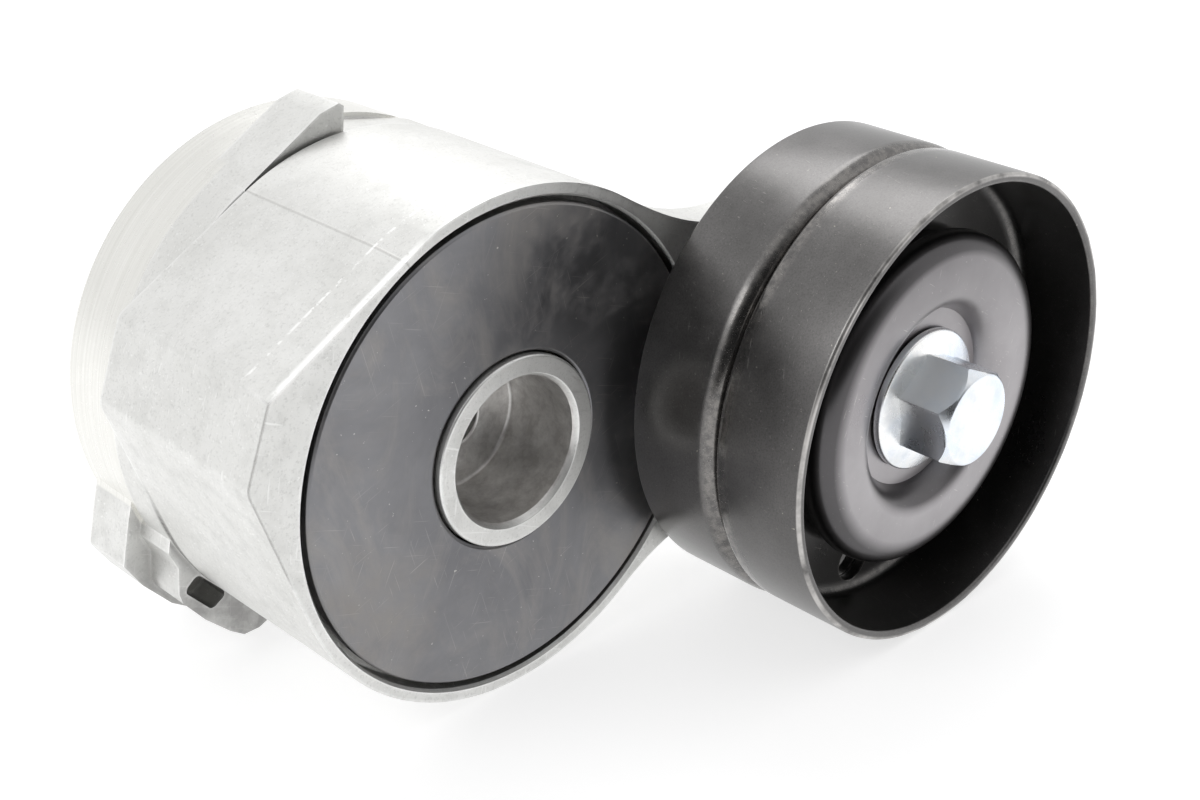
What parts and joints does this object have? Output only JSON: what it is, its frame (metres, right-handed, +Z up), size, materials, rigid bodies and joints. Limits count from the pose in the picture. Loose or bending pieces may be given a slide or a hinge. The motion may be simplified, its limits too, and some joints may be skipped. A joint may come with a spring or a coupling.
{
  "type": "belt tensioner idler",
  "caption": "Spring-loaded belt tensioner: a cast arm swings on a tube in a cast spring case and carries a smooth pressed-steel idler pulley on a sealed ball bearing.",
  "frame": {"origin": "on the arm's pivot axis, at the rear mounting face", "axes": "+Y along the pivot axis towards the engine, so the front is towards -Y; +Z up; the pulley stands off towards +X"},
  "size_m": [0.1436, 0.1013, 0.0846],
  "materials": {
    "cast_aluminium": "as-cast, fine grain, bright worn edges",
    "black_plate": "black satin coat with fine scratches",
    "black_coated_steel": "black satin electrocoat, worn at the rim",
    "shield_steel": "dark grey satin coat",
    "zinc_steel": "bright zinc plate with a faint blue tint",
    "bearing_steel": "ground steel",
    "spring_steel": "oiled spring steel",
    "nylon": "natural moulded nylon",
    "cage_nylon": "moulded bearing cage nylon",
    "rubber": "matt rubber"
  },
  "bodies": {
    "base": {"spring_case": "cast_aluminium", "front_plate": "black_plate", "friction_disc": "nylon", "damping_shoe": "nylon", "thrust_washer": "nylon", "locating_dowel": "bearing_steel", "torsion_spring": "spring_steel"},
    "arm": {"arm": "cast_aluminium", "pivot_bushing_front": "nylon", "pivot_bushing_rear": "nylon", "bearing_inner_ring": "bearing_steel", "bearing_sleeve": "bearing_steel", "front_dust_shield": "shield_steel", "rear_dust_shield": "shield_steel", "pulley_bolt": "zinc_steel"},
    "pulley": {"pulley_front_shell": "black_coated_steel", "pulley_rear_shell": "black_coated_steel", "bearing_outer_ring": "bearing_steel", "bearing_seal_front": "rubber", "bearing_seal_rear": "rubber"},
    "ball_cage": {"bearing_cage": "cage_nylon", "ball_1": "bearing_steel", "ball_2": "bearing_steel", "ball_3": "bearing_steel", "ball_4": "bearing_steel", "ball_5": "bearing_steel", "ball_6": "bearing_steel", "ball_7": "bearing_steel"}
  },
  "joints": [
    {"name": "arm_swing", "type": "hinge", "parent": "base", "child": "arm", "pos_m": [0, 0, 0], "axis": [0, -1, 0], "range_deg": [0, 60], "stiffness_Nm_per_rad": 20, "springref_deg": -57.3, "deforming": ["torsion_spring"]},
    {"name": "pulley_spin", "type": "hinge", "parent": "arm", "child": "pulley", "pos_m": [0.0593, 0, -0.002], "axis": [0, 1, 0], "continuous": true},
    {"name": "cage_orbit", "type": "hinge", "parent": "arm", "child": "ball_cage", "pos_m": [0.0593, 0, -0.002], "axis": [0, 1, 0], "continuous": true}
  ],
  "couplings": [
    {"joint": "cage_orbit", "follows": "pulley_spin", "ratio": 0.6364}
  ]
}
